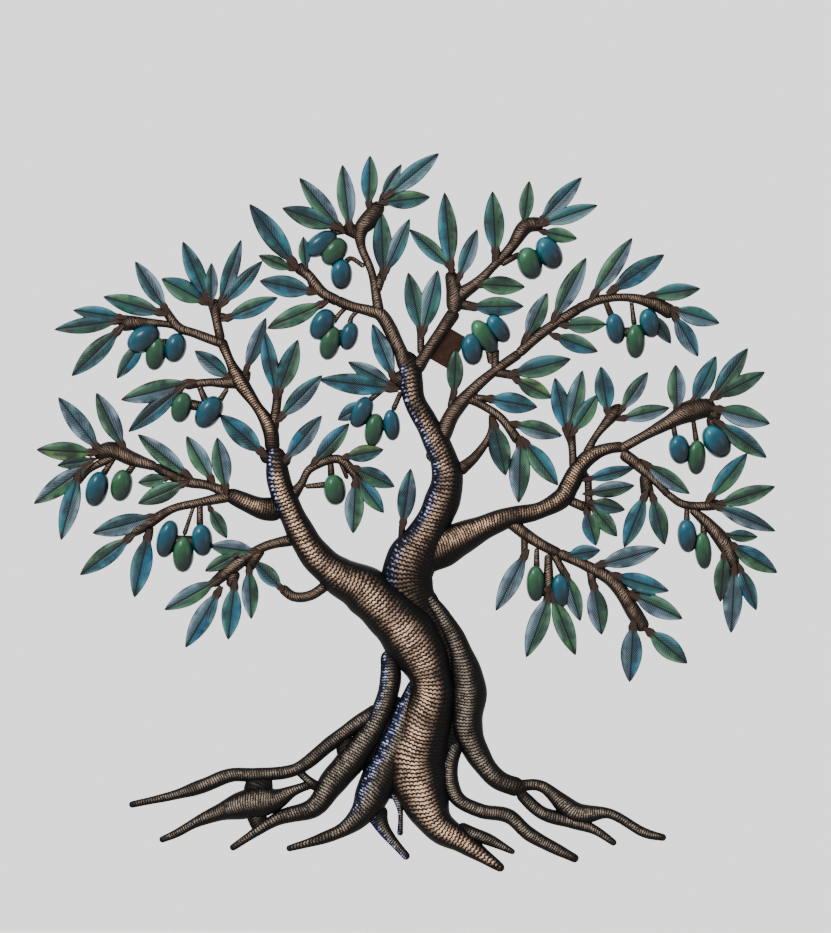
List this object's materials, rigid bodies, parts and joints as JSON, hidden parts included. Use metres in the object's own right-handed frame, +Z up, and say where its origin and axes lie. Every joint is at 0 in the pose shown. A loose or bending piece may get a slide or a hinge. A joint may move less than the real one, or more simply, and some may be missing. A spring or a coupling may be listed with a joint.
{
  "type": "metal olive tree wall sculpture",
  "caption": "Flat olive tree for a wall, cut from sheet steel and hammered from behind, with twisted trunk, spreading roots, leaves and olives.",
  "frame": {"origin": "on the back face of the hanger tab, where it lies on the wall", "axes": "+X to the right, +Z up, +Y into the wall; the front of the sculpture faces -Y"},
  "size_m": [0.6092, 0.0165, 0.5896],
  "materials": {
    "trunk": "near-black paint with peach bronze rubbed on rows of hammer marks, navy on some flanks, satin varnish",
    "bough": "dark brown paint with lighter brown strokes along the limb, satin varnish",
    "leaf": "hand-painted teal, green, blue and silver halves with a dark midrib and veins, satin varnish",
    "olive": "blue or green gloss paint, darker at the lower side, with a pale highlight",
    "hanger": "brown paint"
  },
  "bodies": {
    "root": {"trunk": "trunk", "bough_left": "trunk", "bough_centre": "trunk", "root_right": "trunk", "root_inner_right": "trunk", "root_main": "trunk", "root_front_left": "trunk", "root_left_low": "trunk", "root_left_top": "trunk", "bough_upper_left": "bough", "bough_upper_right": "bough", "bough_left_upper": "bough", "bough_left_low": "bough", "bough_right": "bough", "bough_right_low": "bough", "olives_left_top": "olive", "olives_left_mid": "olive", "olive_left_far_outer": "olive", "olive_left_far_inner": "olive", "olives_left_low": "olive", "olives_upper_left": "olive", "olives_centre_left": "olive", "olives_centre": "olive", "olives_centre_right": "olive", "olives_top_right": "olive", "olives_right": "olive", "olives_right_far": "olive", "olive_right_far_outer": "olive", "olives_right_low": "olive", "olives_low": "olive", "spray_left_top_outer": "leaf", "spray_left_top_inner": "leaf", "spray_upper_left": "leaf", "spray_top_left": "leaf", "spray_upper_right": "leaf", "leaves_centre_pair": "leaf", "leaf_centre": "leaf", "leaf_centre_low": "leaf", "spray_right": "leaf", "spray_right_upper": "leaf", "spray_right_mid": "leaf", "spray_right_hanging": "leaf", "spray_right_fork": "leaf", "spray_right_far": "leaf", "spray_right_inner": "leaf", "spray_right_down": "leaf", "spray_right_low_far": "leaf", "spray_low_right": "leaf", "spray_low_centre": "leaf", "spray_arch": "leaf", "spray_centre": "leaf", "spray_left_mid": "leaf", "spray_left_fork": "leaf", "leaf_left_inner": "leaf", "spray_left_low_inner": "leaf", "spray_left_far": "leaf", "spray_left_low_under": "leaf", "spray_low_left": "leaf", "twig_low_left": "leaf", "hanger_tab": "hanger"}
  },
  "joints": []
}
